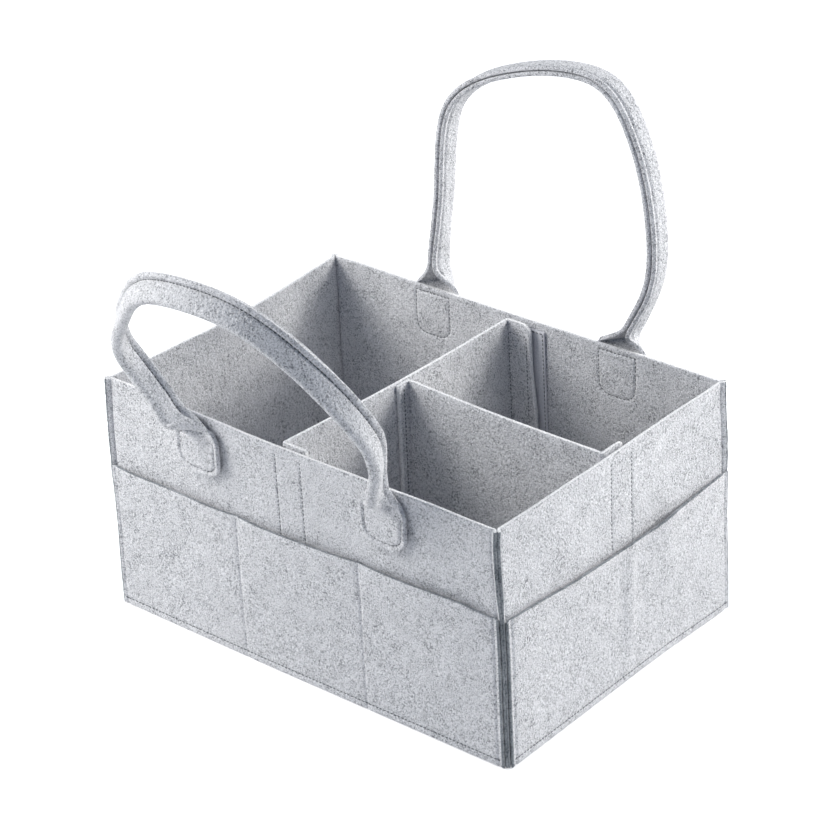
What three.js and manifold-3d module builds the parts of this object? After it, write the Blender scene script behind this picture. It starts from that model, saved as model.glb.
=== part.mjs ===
// Felt diaper caddy: an open box of sewn felt panels with a band of outer pockets, two strap
// handles and a T-shaped divider that hook-and-loop tape holds on three of the walls.
// Millimetres, +Z up. The origin is the centre of the underside, and the front faces -Y.
import * as THREE from 'three';
import { mergeVertices } from 'three/addons/utils/BufferGeometryUtils.js';
import Module from 'manifold-3d';

// Box
const LENGTH = 328; // outside of the walls, along X
const WIDTH = 228; // outside of the walls, along Y
const HEIGHT = 170; // floor to rim
const FELT = 3; // thickness of every felt panel
const GAP = 0.3; // air between two layers that lie on each other
const SEAM = 6; // corner seam, from the inner corner out to the raw edges
const BORDER = 8; // turned-up edge of the base

// Pockets
const POCKET_DROP = 63; // rim down to the pocket mouth
const POCKET_SLACK = 6; // how far a mouth stands off the wall
const LONG_CELLS = 3; // pockets on a long side
const SHORT_CELLS = 1; // pockets on a short side
const CELL_STEPS = 10; // facets across one pocket
const POCKET_ROWS = 6; // facets from the floor to the mouth

// Handles: a strip that lies flat on the wall and is folded in half above the rim
const STRIP = 39; // width of the strip, opened out
const FOLD_GAP = 1.2; // air between the two leaves of the folded strip
const TAB_SPACING = 156; // from middle to middle of the two tabs of a handle
const TAB_DROP = 41; // rim down to the end of a tab
const TAB_CORNER = 14; // radius of a tab's lower corners
const HINGE_LIFT = 0.5; // bending line above the rim
const GATHER_START = 3; // bending line up to where the strip starts to fold
const GATHER_LENGTH = 22; // length over which it folds
const ARCH_STEPS = 52; // facets along a handle

// A handle's middle line at rest: three points on each half of it, each as a distance outward
// from the foot and a height above the bending line.
const FRONT_ARCH = {
  middle: -3, // of the two tabs, from the middle of the side
  lean: 25, // degrees outward from upright
  left: { bulge: [38, 47], shoulder: [8, 104], crown: [-31, 138] },
  right: { bulge: [15, 52], shoulder: [-11, 110], crown: [-53, 142] },
};
const BACK_ARCH = {
  middle: -5,
  lean: 8,
  left: { bulge: [23, 60], shoulder: [6, 137], crown: [-24, 173] },
  right: { bulge: [-3, 60], shoulder: [-10, 134], crown: [-61, 166] },
};

// Divider: it stands a little out of square, as its tape was pressed on
const CROSS_FRONT_X = -14; // middle of the cross panel at the front wall
const CROSS_BACK_X = -3; // and at the back wall
const LEG_INNER_Y = 2; // middle of the leg panel at the cross panel
const LEG_OUTER_Y = -3; // and at the right wall
const DIVIDER_DROP = 0.5; // rim down to the divider's top edge
const DIVIDER_FLANGE = 21; // end flange on a wall
const LEG_FLANGE = 9; // flange of the leg on the cross panel
const DIVIDER_CORNER = 10; // radius of the flanges' top corners

// Hook-and-loop tape: the loop side on the walls, the hook side on the divider's flanges
const LOOP_WIDTH = 24;
const HOOK_WIDTH = 18;
const BACK_LOOP_SHIFT = 7; // how far the back wall's tape shows past its flange's middle
const TAPE_LENGTH = 120;
const TAPE_DROP = 5; // rim down to the top of the tape
const TAPE_THICK = 1.4;

const CORNER_STEPS = 5; // facets round a quarter circle
const ROUNDED_END = [20, 45, 75]; // degrees round the rounded edge of a strip
const FELT_GREY = 0xcfd1d5;
const FELT_INNER_GREY = 0xb4b8be;
const FELT_ROUGHNESS = 0.95;
const TAPE_GREY = 0xbebec3;
const TAPE_ROUGHNESS = 0.8;

const wasm = await Module();
wasm.setup();

// A closed sheet between two grids of points, given row by row. With each row pointing right and
// the rows following each other upward, the outer grid is the nearer one.
function sheetGeometry(rows) {
  const count = rows[0].inner.length;
  const positions = rows.flatMap((row) => [...row.inner, ...row.outer]).flatMap((p) => [p.x, p.y, p.z]);
  const inner = (row, column) => row * 2 * count + column;
  const outer = (row, column) => inner(row, column) + count;
  const index = [];
  const quad = (a, b, c, d) => index.push(a, b, c, a, c, d);
  const last = rows.length - 1;
  const end = count - 1;
  for (let c = 0; c < end; c += 1) {
    for (let r = 0; r < last; r += 1) {
      quad(outer(r, c), outer(r, c + 1), outer(r + 1, c + 1), outer(r + 1, c));
      quad(inner(r, c), inner(r + 1, c), inner(r + 1, c + 1), inner(r, c + 1));
    }
    quad(outer(0, c), inner(0, c), inner(0, c + 1), outer(0, c + 1));
    quad(outer(last, c), outer(last, c + 1), inner(last, c + 1), inner(last, c));
  }
  for (let r = 0; r < last; r += 1) {
    quad(outer(r, 0), outer(r + 1, 0), inner(r + 1, 0), inner(r, 0));
    quad(outer(r, end), inner(r, end), inner(r + 1, end), outer(r + 1, end));
  }
  const geometry = new THREE.BufferGeometry();
  geometry.setAttribute('position', new THREE.Float32BufferAttribute(positions, 3));
  geometry.setIndex(index);
  return geometry;
}

// One row of a sheet that stands upright: two plan lines at one height.
function uprightRow(innerLine, outerLine, z) {
  const lift = (p) => new THREE.Vector3(p.x, p.y, z);
  return { inner: innerLine.map(lift), outer: outerLine.map(lift) };
}

// Heights and insets of a quarter circle that ends at the given height.
function quarterCircle(radius, top) {
  return Array.from({ length: CORNER_STEPS + 1 }, (_, step) => {
    const angle = (step / CORNER_STEPS) * Math.PI / 2;
    return { z: top - radius * (1 - Math.sin(angle)), inset: radius * (1 - Math.cos(angle)) };
  });
}

// A plan line moved sideways, to the left of its direction, with mitred corners.
function offsetLine(points, distance) {
  const left = (a, b) => new THREE.Vector2(a.y - b.y, b.x - a.x).normalize();
  return points.map((point, i) => {
    const before = i > 0 ? left(points[i - 1], point) : left(point, points[i + 1]);
    const after = i < points.length - 1 ? left(point, points[i + 1]) : before;
    const mitre = before.clone().add(after);
    return point.clone().addScaledVector(mitre, distance / (1 + before.dot(after)));
  });
}

// A plan line with its two ends drawn in.
function shortenedLine(points, start, end) {
  const line = points.map((p) => p.clone());
  const last = line.length - 1;
  line[0].addScaledVector(points[1].clone().sub(points[0]).normalize(), start);
  line[last].addScaledVector(points[last - 1].clone().sub(points[last]).normalize(), end);
  return line;
}

// A layer of one side: the wall has depth 0 on its inner face, and each layer outside it is deeper.
// The line runs along the side and turns out at both ends into the corner seams, on the diagonal.
function seamedLine(halfLength, depth, middle) {
  const diagonal = GAP / 2 + depth;
  const bend = halfLength - FELT - (Math.SQRT2 - 1) * depth - GAP * Math.SQRT1_2;
  const tip = new THREE.Vector2(halfLength - FELT, FELT)
    .add(new THREE.Vector2(-1, -1).multiplyScalar(diagonal * Math.SQRT1_2))
    .add(new THREE.Vector2(1, -1).multiplyScalar(SEAM * Math.SQRT1_2));
  const right = [new THREE.Vector2(bend, FELT - depth), tip];
  const left = right.map((p) => new THREE.Vector2(-p.x, p.y)).reverse();
  return [...left, ...middle(bend), ...right];
}

function wallGeometry(halfLength) {
  const plain = () => [];
  const inner = seamedLine(halfLength, 0, plain);
  const outer = seamedLine(halfLength, FELT, plain);
  return sheetGeometry([uprightRow(inner, outer, 0), uprightRow(inner, outer, HEIGHT)]);
}

// Share of the slack at a place across the side: none at a pocket's seams, all of it in the middle.
function cellSlack(x, halfLength, cells) {
  const across = ((x + halfLength) / (2 * halfLength)) * cells;
  const fromMiddle = 2 * (across - Math.floor(across)) - 1;
  return 1 - fromMiddle ** 4;
}

// The band of pockets on one side, sewn flat along the floor and at its seams, open along the top.
function pocketGeometry(halfLength, cells) {
  const height = HEIGHT - POCKET_DROP;
  const steps = cells * CELL_STEPS;
  const line = (depth, slack) => seamedLine(halfLength, depth, (bend) => (
    Array.from({ length: steps - 1 }, (_, i) => {
      const x = bend * (2 * (i + 1) / steps - 1);
      return new THREE.Vector2(x, FELT - depth - slack * cellSlack(x, bend, cells));
    })
  ));
  const rows = Array.from({ length: POCKET_ROWS + 1 }, (_, r) => {
    const rise = r / POCKET_ROWS;
    const slack = POCKET_SLACK * rise ** 2;
    return uprightRow(line(FELT + GAP, slack), line(2 * FELT + GAP, slack), rise * height);
  });
  return sheetGeometry(rows);
}

// The strip across its width, as offsets towards the inside of the arch and of the box. Its middle
// bends by the fold angle to each side, its two leaves stay straight, and the whole section moves
// out as it folds, so that the folded strip stands over its tab.
function stripSection(fold, thickness) {
  const arc = Math.PI * (FELT + FOLD_GAP) / 2;
  const columns = [-STRIP / 2, -arc / 2, -arc / 4, 0, arc / 4, arc / 2, STRIP / 2];
  const curvature = 2 * fold / arc;
  const middle = (arc / Math.PI + STRIP / 2 - arc / 2 - FELT / 2) / 2 * Math.sin(fold);
  const face = (side) => columns.map((w) => {
    const bent = THREE.MathUtils.clamp(w, -arc / 2, arc / 2);
    const angle = curvature * bent;
    const flat = w - bent;
    const across = fold > 0 ? Math.sin(angle) / curvature : bent;
    const inward = fold > 0 ? (1 - Math.cos(angle)) / curvature : 0;
    return {
      across: across + flat * Math.cos(angle) - side * thickness / 2 * Math.sin(angle),
      inward: inward - middle + flat * Math.sin(angle) + side * thickness / 2 * Math.cos(angle),
    };
  });
  return { inner: face(1), outer: face(-1) };
}

// Middle line of a handle in its own leaning plane: X across and Y along the lean.
function archCurve(arch) {
  const foot = TAB_SPACING / 2;
  const limb = ({ bulge, shoulder, crown }, sign) => [[0, 0], bulge, shoulder, crown].map(
    ([outward, height]) => new THREE.Vector3(sign * (foot + outward), height, 0),
  );
  return new THREE.CatmullRomCurve3([...limb(arch.left, -1), ...limb(arch.right, 1).reverse()]);
}

// Stations along a handle, as shares of its length: the rounded end at each foot, and even steps.
function archStations() {
  const turns = ROUNDED_END.map((degrees) => THREE.MathUtils.degToRad(degrees));
  const far = turns.map((angle) => ({
    share: 1,
    below: Math.sin(angle) * FELT / 2,
    thickness: Math.cos(angle) * FELT,
  }));
  const even = Array.from({ length: ARCH_STEPS + 1 }, (_, i) => (
    { share: i / ARCH_STEPS, below: 0, thickness: FELT }
  ));
  const near = far.map((end) => ({ ...end, share: 0 })).reverse();
  return [...near, ...even, ...far];
}

// A handle above the bending line, which is at the origin, upright in the XZ plane with its fold
// outward, to -Y. The strip is flat and level at its feet, and folded in half over the rest.
function handleGeometry(arch) {
  const curve = archCurve(arch);
  const length = curve.getLength();
  const rows = archStations().map(({ share, below, thickness }) => {
    const point = curve.getPointAt(share);
    const along = curve.getTangentAt(share);
    const fromFoot = length * Math.min(share, 1 - share);
    const gathered = THREE.MathUtils.smoothstep(fromFoot, GATHER_START, GATHER_START + GATHER_LENGTH);
    const section = stripSection(gathered * Math.PI / 2, thickness);
    const level = new THREE.Vector2(Math.sign(along.y), 0);
    const width = level.lerp(new THREE.Vector2(along.y, -along.x), gathered).normalize();
    const place = ({ across, inward }) => new THREE.Vector3(
      point.x + across * width.x,
      inward,
      point.y + across * width.y - below,
    );
    return { inner: section.inner.map(place), outer: section.outer.map(place) };
  });
  return sheetGeometry(rows);
}

// The flat end of a strip, sewn on the wall. Its top is rounded to follow the bend of the strip.
function tabGeometry() {
  const half = STRIP / 2;
  const radius = FELT / 2;
  const top = HEIGHT + HINGE_LIFT - 2 * radius - GAP;
  const bottom = HEIGHT - TAB_DROP;
  const row = (z, reach, thin) => uprightRow(
    [new THREE.Vector2(-reach, -GAP - thin), new THREE.Vector2(reach, -GAP - thin)],
    [new THREE.Vector2(-reach, -GAP - FELT + thin), new THREE.Vector2(reach, -GAP - FELT + thin)],
    z,
  );
  const corner = quarterCircle(TAB_CORNER, 0).map(({ z, inset }) => row(bottom - z, half - inset, 0));
  const rounded = [0, ...ROUNDED_END].map((degrees) => {
    const angle = THREE.MathUtils.degToRad(degrees);
    return row(top + radius * Math.sin(angle), half, radius * (1 - Math.cos(angle)));
  });
  return sheetGeometry([...corner.reverse(), ...rounded]);
}

function solidFrom(geometry) {
  const bare = geometry.clone();
  bare.deleteAttribute('normal');
  bare.deleteAttribute('uv');
  const merged = mergeVertices(bare);
  const vertProperties = new Float32Array(merged.attributes.position.array);
  const triVerts = new Uint32Array(merged.index.array);
  return new wasm.Manifold(new wasm.Mesh({ numProp: 3, vertProperties, triVerts }));
}

function geometryFrom(solid) {
  const mesh = solid.getMesh();
  const geometry = new THREE.BufferGeometry();
  geometry.setAttribute('position', new THREE.BufferAttribute(mesh.vertProperties, 3));
  geometry.setIndex(new THREE.BufferAttribute(mesh.triVerts, 1));
  return geometry;
}

function plateGeometry(length, width, bottom, top) {
  const shape = new THREE.Shape();
  shape.moveTo(-length / 2, -width / 2);
  shape.lineTo(length / 2, -width / 2);
  shape.lineTo(length / 2, width / 2);
  shape.lineTo(-length / 2, width / 2);
  const geometry = new THREE.ExtrudeGeometry(shape, { depth: top - bottom, bevelEnabled: false });
  return geometry.translate(0, 0, bottom);
}

// The bottom panel, with its edge turned up inside the walls.
function baseGeometry() {
  const length = LENGTH - 2 * (FELT + GAP);
  const width = WIDTH - 2 * (FELT + GAP);
  const whole = plateGeometry(length, width, 0, BORDER);
  const hollow = plateGeometry(length - 2 * FELT, width - 2 * FELT, FELT, BORDER + FELT);
  return geometryFrom(solidFrom(whole).subtract(solidFrom(hollow)));
}

// How far the divider's end flanges stay inside the box: wall, two layers of tape and the gaps.
const TAPED_DEPTH = FELT + 2 * TAPE_THICK + 3 * GAP;

// A divider panel from its outer plan line, with rounded top corners on the flanges that are taped.
function dividerGeometry(line, startTaped) {
  const rowAt = (z, inset) => {
    const outer = shortenedLine(line, startTaped ? inset : 0, inset);
    return uprightRow(offsetLine(outer, FELT), outer, z);
  };
  const corner = quarterCircle(DIVIDER_CORNER, HEIGHT - DIVIDER_DROP);
  return sheetGeometry([rowAt(FELT + GAP, 0), ...corner.map(({ z, inset }) => rowAt(z, inset))]);
}

const CROSS_REACH = WIDTH / 2 - TAPED_DEPTH;
const FRONT_FACE = CROSS_FRONT_X - FELT / 2;
const BACK_FACE = CROSS_BACK_X - FELT / 2;
const OUTER_FACE = LEG_OUTER_Y - FELT / 2;

// The cross panel, from wall to wall, its two end flanges turned to +X.
function crossGeometry() {
  const line = [
    [BACK_FACE + DIVIDER_FLANGE, CROSS_REACH],
    [BACK_FACE, CROSS_REACH],
    [FRONT_FACE, -CROSS_REACH],
    [FRONT_FACE + DIVIDER_FLANGE, -CROSS_REACH],
  ];
  return dividerGeometry(line.map(([x, y]) => new THREE.Vector2(x, y)), true);
}

// The leg panel, from a narrow flange sewn on the cross panel to a flange taped on the right wall.
function legGeometry() {
  const slope = (CROSS_BACK_X - CROSS_FRONT_X) / (2 * CROSS_REACH);
  const sewnDepth = (FELT / 2 + GAP + FELT) * Math.hypot(1, slope);
  const sewnFace = (y) => CROSS_FRONT_X + (y + CROSS_REACH) * slope + sewnDepth;
  const innerFace = LEG_INNER_Y - FELT / 2;
  const end = LENGTH / 2 - TAPED_DEPTH;
  const line = [
    [sewnFace(innerFace - LEG_FLANGE), innerFace - LEG_FLANGE],
    [sewnFace(innerFace), innerFace],
    [end, OUTER_FACE],
    [end, OUTER_FACE + DIVIDER_FLANGE],
  ];
  return dividerGeometry(line.map(([x, y]) => new THREE.Vector2(x, y)), false);
}

// A length of tape on the inner face of a side, at a distance in from the wall's outer face.
function tapeGeometry(middle, width, depth) {
  const line = (y) => [
    new THREE.Vector2(middle - width / 2, y),
    new THREE.Vector2(middle + width / 2, y),
  ];
  const top = HEIGHT - TAPE_DROP;
  const row = (z) => uprightRow(line(depth + TAPE_THICK), line(depth), z);
  return sheetGeometry([row(top - TAPE_LENGTH), row(top)]);
}

function felt(color) {
  return new THREE.MeshStandardMaterial({ color, roughness: FELT_ROUGHNESS, metalness: 0 });
}

function tape() {
  return new THREE.MeshStandardMaterial({ color: TAPE_GREY, roughness: TAPE_ROUGHNESS, metalness: 0 });
}

function part(name, geometry, material) {
  const mesh = new THREE.Mesh(geometry, material);
  mesh.name = name;
  return mesh;
}

// A side's own frame: its wall's outer face is the plane y = 0, and outside is -Y.
function sideGroup(turn, distance) {
  const group = new THREE.Group();
  group.rotation.z = turn;
  group.position.set(Math.sin(turn) * distance, -Math.cos(turn) * distance, 0);
  return group;
}

function addPanels(side, name, length, cells) {
  side.add(part(`${name}_wall`, wallGeometry(length / 2), felt(FELT_GREY)));
  side.add(part(`${name}_pocket`, pocketGeometry(length / 2, cells), felt(FELT_GREY)));
}

function addHandle(side, name, arch, tabNames) {
  const handle = part(`${name}_handle`, handleGeometry(arch), felt(FELT_GREY));
  handle.position.set(arch.middle, -GAP - FELT / 2, HEIGHT + HINGE_LIFT);
  handle.rotation.x = THREE.MathUtils.degToRad(arch.lean);
  side.add(handle);
  tabNames.forEach((tabName, i) => {
    const tab = part(`${name}_${tabName}_tab`, tabGeometry(), felt(FELT_GREY));
    tab.position.x = arch.middle + (i - 0.5) * TAB_SPACING;
    side.add(tab);
  });
}

function addTape(side, name, loopMiddle, hookMiddle) {
  const loopDepth = FELT + GAP;
  const hookDepth = loopDepth + TAPE_THICK + GAP;
  side.add(part(`loop_${name}`, tapeGeometry(loopMiddle, LOOP_WIDTH, loopDepth), tape()));
  side.add(part(`hook_${name}`, tapeGeometry(hookMiddle, HOOK_WIDTH, hookDepth), tape()));
}

const caddy = new THREE.Group();
const front = sideGroup(0, WIDTH / 2);
const right = sideGroup(Math.PI / 2, LENGTH / 2);
const back = sideGroup(Math.PI, WIDTH / 2);
const left = sideGroup(-Math.PI / 2, LENGTH / 2);
caddy.add(front, right, back, left);

caddy.add(part('base_panel', baseGeometry(), felt(FELT_INNER_GREY)));
addPanels(front, 'front', LENGTH, LONG_CELLS);
addPanels(back, 'back', LENGTH, LONG_CELLS);
addPanels(left, 'left', WIDTH, SHORT_CELLS);
addPanels(right, 'right', WIDTH, SHORT_CELLS);
addHandle(front, 'front', FRONT_ARCH, ['left', 'right']);
addHandle(back, 'back', BACK_ARCH, ['right', 'left']);
caddy.add(part('divider_cross', crossGeometry(), felt(FELT_INNER_GREY)));
caddy.add(part('divider_leg', legGeometry(), felt(FELT_INNER_GREY)));
const frontFlange = FRONT_FACE + DIVIDER_FLANGE / 2;
const backFlange = BACK_FACE + DIVIDER_FLANGE / 2;
const outerFlange = OUTER_FACE + DIVIDER_FLANGE / 2;
addTape(front, 'front', frontFlange, frontFlange);
addTape(back, 'back', -backFlange - BACK_LOOP_SHIFT, -backFlange);
addTape(right, 'right', outerFlange, outerFlange);

export default caddy;
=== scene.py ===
import math

import bpy
import numpy as np
from mathutils import Matrix, Vector


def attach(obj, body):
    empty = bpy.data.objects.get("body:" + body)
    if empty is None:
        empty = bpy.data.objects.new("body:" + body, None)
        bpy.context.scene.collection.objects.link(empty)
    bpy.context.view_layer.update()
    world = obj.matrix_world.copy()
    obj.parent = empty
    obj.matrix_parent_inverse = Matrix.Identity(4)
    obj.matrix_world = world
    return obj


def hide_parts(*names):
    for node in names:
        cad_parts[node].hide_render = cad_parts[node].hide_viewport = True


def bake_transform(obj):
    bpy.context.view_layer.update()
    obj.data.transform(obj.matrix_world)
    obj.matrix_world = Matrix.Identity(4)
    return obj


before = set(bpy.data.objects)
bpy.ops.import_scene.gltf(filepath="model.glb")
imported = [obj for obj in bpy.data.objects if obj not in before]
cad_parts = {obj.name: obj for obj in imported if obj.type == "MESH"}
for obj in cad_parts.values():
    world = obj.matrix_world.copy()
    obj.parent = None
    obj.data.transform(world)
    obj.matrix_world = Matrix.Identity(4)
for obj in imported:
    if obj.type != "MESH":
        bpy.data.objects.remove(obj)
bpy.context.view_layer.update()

# Base panel: one sheet of 3 mm pressed polyester felt, laid flat as the bottom of the box. Its
# ends are turned up inside the short walls, a strip of felt stands along each long wall, and the
# edge is sewn through the walls all round.
MM = 0.001  # sizes are in millimetres, and the scene is in metres
FELT = 3.0
GAP = 0.3
RIM = 170.0
BOX_LENGTH = 328.0
BOX_WIDTH = 228.0
BASE_BORDER = 8.0
BASE_BEND = 3.2
BASE_STEP = 8.0
BORDER_STEP = 2.0


def linear(colour):
    """The linear RGBA of an sRGB hex colour."""
    parts = [int(colour[i:i + 2], 16) / 255 for i in (1, 3, 5)]
    return [p / 12.92 if p <= 0.04045 else ((p + 0.055) / 1.055) ** 2.4 for p in parts] + [1.0]


def add_node(tree, kind, settings, links=None):
    """Adds a shader node, sets its inputs or properties by name, and links its inputs."""
    node = tree.nodes.new("ShaderNode" + kind)
    for key, value in settings.items():
        if isinstance(key, int) or key in node.inputs:
            node.inputs[key].default_value = value
        else:
            setattr(node, key, value)
    for key, (source, output) in (links or {}).items():
        tree.links.new(source.outputs[output], node.inputs[key])
    return node


def new_material(name):
    """A new material, its node tree and its shader."""
    material = bpy.data.materials.new(name)
    material.use_nodes = True
    return material, material.node_tree, material.node_tree.nodes["Principled BSDF"]


def noise(tree, size_mm, detail, roughness=0.5, distortion=0.0):
    """A noise pattern of a size in millimetres, fixed to the object that it is on."""
    where = add_node(tree, "TexCoord", {})
    settings = {"Scale": 1000 / size_mm, "Detail": detail, "Roughness": roughness, "Distortion": distortion}
    return add_node(tree, "TexNoise", settings, {"Vector": (where, "Object")})


# Pressed felt is a mat of short polyester fibres, matt and a little fuzzy. White and grey fibres
# are mixed, so it shows soft clouds, fine dark specks and short curled hairs. A real fibre is
# 0.03 mm thick. Specks and hairs are drawn 0.5 to 1 mm thick and the nap 2 mm wide, so that they
# show in the render. Specks and grain share one scale, so that specks lie where the grain is dark.
CLOUD_MM = 13.0
HAIR_MM = 3.0
HAIR_GAP_MM = 3.0
FIBRE_MM = 0.95
NAP_MM = 2.2
NAP_HEIGHT = 1.2
PALE_CLOUD_SHARE = 0.35


def pressed_felt(name, pale, grey, dark, dark_share, sheen):
    """Felt of mixed fibres: pale and grey clouds, with more dark fibres in the grey ones, and a nap."""
    material, tree, shader = new_material(name)
    clouds = noise(tree, CLOUD_MM, detail=4.0, roughness=0.7)
    cloud = add_node(tree, "MapRange", {"From Min": 0.38, "From Max": 0.66}, {"Value": (clouds, "Fac")})
    ground = add_node(
        tree, "Mix", {"data_type": "RGBA", 6: linear(pale), 7: linear(grey)}, {0: (cloud, "Result")}
    )
    dots = noise(tree, FIBRE_MM, detail=1.0, roughness=0.6)
    specks = add_node(tree, "MapRange", {"From Min": 0.55, "From Max": 0.7}, {"Value": (dots, "Fac")})
    curls = noise(tree, HAIR_MM, detail=1.0, distortion=1.4)
    from_curl = add_node(tree, "Math", {"operation": "SUBTRACT", 1: 0.5}, {0: (curls, "Fac")})
    beside_curl = add_node(tree, "Math", {"operation": "ABSOLUTE"}, {0: (from_curl, "Value")})
    curl_line = add_node(
        tree, "MapRange", {"From Min": 0.015, "From Max": 0.06, "To Min": 1.0, "To Max": 0.0},
        {"Value": (beside_curl, "Value")},
    )
    breaks = noise(tree, HAIR_GAP_MM, detail=1.0)
    kept = add_node(tree, "MapRange", {"From Min": 0.52, "From Max": 0.6}, {"Value": (breaks, "Fac")})
    hairs = add_node(
        tree, "Math", {"operation": "MULTIPLY"}, {0: (curl_line, "Result"), 1: (kept, "Result")}
    )
    fibres = add_node(
        tree, "Math", {"operation": "MAXIMUM"}, {0: (hairs, "Value"), 1: (specks, "Result")}
    )
    share = add_node(
        tree, "MapRange", {"To Min": PALE_CLOUD_SHARE * dark_share, "To Max": dark_share},
        {"Value": (cloud, "Result")},
    )
    darkened = add_node(
        tree, "Math", {"operation": "MULTIPLY"}, {0: (fibres, "Value"), 1: (share, "Result")}
    )
    flecked = add_node(
        tree, "Mix", {"data_type": "RGBA", 7: linear(dark)}, {0: (darkened, "Value"), 6: (ground, 2)}
    )
    grain = noise(tree, FIBRE_MM, detail=2.0, roughness=0.7)
    grain_light = add_node(
        tree, "MapRange", {"From Min": 0.3, "From Max": 0.7, "To Min": 1.24, "To Max": 0.66},
        {"Value": (grain, "Fac")},
    )
    colour = add_node(
        tree, "VectorMath", {"operation": "SCALE"}, {0: (flecked, 2), "Scale": (grain_light, "Result")}
    )
    tree.links.new(colour.outputs["Vector"], shader.inputs["Base Color"])
    nap = noise(tree, NAP_MM, detail=2.0, roughness=0.7)
    bump = add_node(tree, "Bump", {"Strength": 1.0, "Distance": NAP_HEIGHT * MM}, {"Height": (nap, "Fac")})
    tree.links.new(bump.outputs["Normal"], shader.inputs["Normal"])
    shader.inputs["Roughness"].default_value = 0.95
    shader.inputs["Specular IOR Level"].default_value = 0.2
    shader.inputs["Sheen Weight"].default_value = sheen
    shader.inputs["Sheen Roughness"].default_value = 0.5
    return material


# The cut edges are drawn near white: partly the pale fibre ends of a clean cut, and partly a
# painted highlight where rims and edges catch the light. The raw edges in the seams are drawn
# darker: partly pressed hard, and partly painted shade of the crease beside them. The same dark
# felt on the pocket mouths is a painted shadow of the gap behind them.
felt_face = pressed_felt(
    "felt_pressed_face", pale="#e8e8ea", grey="#dedee0", dark="#4c5057", dark_share=0.85, sheen=0.15
)
felt_cut_and_highlight = pressed_felt(
    "felt_cut_edge_and_highlight", pale="#fcfcfc", grey="#f6f6f6", dark="#c4c6ca", dark_share=0.35, sheen=0.4
)
felt_seam_and_shade = pressed_felt(
    "felt_seam_edge_and_shade", pale="#a6aaae", grey="#868b8f", dark="#3a3f43", dark_share=0.95, sheen=0.0
)

# How the box has settled: how far each part of it moves, and the places, counted from the box's
# middle, between which the move grows to its full size.
CORNER_OUT = 4.5
FRONT_LEFT_FROM = (40.0, -30.0)
FRONT_LEFT_LOST = 0.12
BACK_RIGHT_FROM = (60.0, 30.0)
BACK_RIGHT_SHARES = (0.6, 0.4)
CORNER_LEAN = 5.0
LEAN_FROM = 10.0
LEAN_AT_FLOOR = 0.28
LEFT_SAG = 5.5
LEFT_SAG_FROM = (110.0, 150.0)
RIGHT_BOW = 2.0
RIGHT_BOW_FROM = (100.0, 155.0)
SAG_POWER = 1.5
WAVE = 0.7
WAVE_END = 10.0
LONG_WALL_FROM = (95.0, 108.0)
LONG_TAPE_CLEAR = (30.0, 60.0)
LONG_WALL_WAVES = (13.0, 29.0, 31.0, 17.0)
SHORT_WALL_FROM = (143.0, 158.0)
SHORT_TAPE_CLEAR = (25.0, 50.0)
SHORT_WALL_WAVES = (14.0, 25.0, 27.0, 19.0)


def smooth(value, start, end):
    """0 before start, 1 after end, and an even rise between them."""
    share = np.clip((value - start) / (end - start), 0, 1)
    return share * share * (3 - 2 * share)


def ripple(along, up, lengths):
    """Two waves that cross on a wall, from the length of each one along the wall and up it."""
    along_1, up_1, along_2, up_2 = lengths
    return np.sin(along / along_1 + up / up_1) + np.sin(up / up_2 - along / along_2)


def settled(points):
    """The box stands a little out of square. Its front left corner stands out and leans back, its
    back right corner stands out, the left wall sags in at the rim and the right wall bows out. Away
    from the divider's tapes, the walls and pockets are not quite flat."""
    x, y, z = points.T
    rise = np.clip(z / RIM, 0, 1)
    sag_rise = rise ** SAG_POWER
    half_length, half_width = BOX_LENGTH / 2, BOX_WIDTH / 2
    front_left = smooth(-x, FRONT_LEFT_FROM[0], half_length) * smooth(-y, FRONT_LEFT_FROM[1], half_width)
    back_right = smooth(x, BACK_RIGHT_FROM[0], half_length) * smooth(y, BACK_RIGHT_FROM[1], half_width)
    mid_short = np.cos(np.clip(y / half_width, -1, 1) * math.pi / 2)
    left_sag = LEFT_SAG * mid_short * smooth(-x, *LEFT_SAG_FROM) * sag_rise
    right_bow = RIGHT_BOW * mid_short * smooth(x, *RIGHT_BOW_FROM) * rise
    lean = CORNER_LEAN * smooth(-x, LEAN_FROM, half_length) * smooth(-y, -half_width, half_width)
    free = WAVE * rise * (1 - smooth(z, RIM - WAVE_END, RIM + WAVE_END))
    long_wave = free * smooth(np.abs(y), *LONG_WALL_FROM) * smooth(np.abs(x), *LONG_TAPE_CLEAR)
    short_wave = free * smooth(np.abs(x), *SHORT_WALL_FROM) * smooth(np.abs(y), *SHORT_TAPE_CLEAR)
    in_x = left_sag + right_bow - CORNER_OUT * front_left * (1 - FRONT_LEFT_LOST * rise)
    in_x += CORNER_OUT * BACK_RIGHT_SHARES[0] * back_right
    in_x += short_wave * ripple(y, z, SHORT_WALL_WAVES)
    in_y = lean * (LEAN_AT_FLOOR + (1 - LEAN_AT_FLOOR) * sag_rise)
    in_y += CORNER_OUT * BACK_RIGHT_SHARES[1] * back_right
    in_y += long_wave * ripple(x, z, LONG_WALL_WAVES)
    return points + np.stack((in_x, in_y, np.zeros_like(x)), axis=1)


EDGE_ROUND = 1.0
EDGE_FIRST = 0.3
EDGE_LEFT = 0.6
BESIDE_MARK = (-2.2, -1.2, -0.6, 0.0, 0.6, 1.2, 2.2)
CLOSEST = 0.25


def spaced(start, end, step, marks=()):
    """Places across a sheet: even steps, closer together at its cut edges and beside each mark."""
    places = list(np.linspace(start, end, max(2, round((end - start) / step)) + 1)[1:-1])
    places += [start + EDGE_FIRST, start + EDGE_ROUND, end - EDGE_ROUND, end - EDGE_FIRST]
    places += [mark + aside for mark in marks for aside in BESIDE_MARK]
    kept = [start]
    for place in sorted(places):
        if place - kept[-1] > CLOSEST and end - place > CLOSEST:
            kept.append(place)
    return np.array(kept + [end])


def run_along(line):
    """The length along a line from its start to each of its points."""
    return np.concatenate(([0], np.cumsum(np.linalg.norm(np.diff(line, axis=0), axis=1))))


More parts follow.
